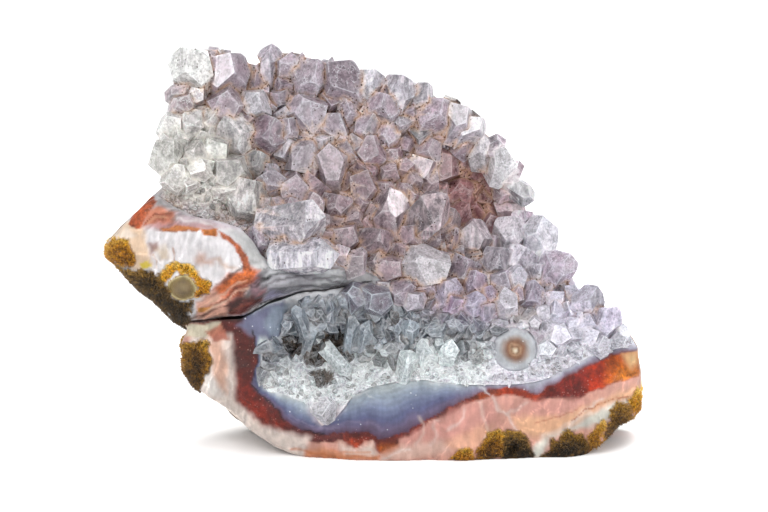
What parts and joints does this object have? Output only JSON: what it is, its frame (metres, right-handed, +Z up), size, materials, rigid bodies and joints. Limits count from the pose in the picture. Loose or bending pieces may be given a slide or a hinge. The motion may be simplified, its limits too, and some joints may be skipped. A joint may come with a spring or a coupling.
{
  "type": "quartz geode fragment on banded agate",
  "caption": "Broken geode fragment that stands on its flat base: a druse of quartz crystals on banded agate with a mossy rind.",
  "frame": {"origin": "on the plane that the stone rests on, under the middle of its bounding box", "axes": "+Z up, +X along the width to the right as seen from the crystal side, -Y out of the crystal side, towards the viewer"},
  "size_m": [0.1, 0.0492, 0.0738],
  "materials": {
    "banded_agate": "broken chalcedony, waxy to dull: pink, red and grey-blue bands under an ochre to olive mossy rind",
    "quartz_crystal": "glassy crystal faces, clear to milky with a pale mauve tint, brown stain in the seams"
  },
  "bodies": {
    "root": {"agate_matrix": "banded_agate", "quartz_druse": "quartz_crystal"}
  },
  "joints": []
}
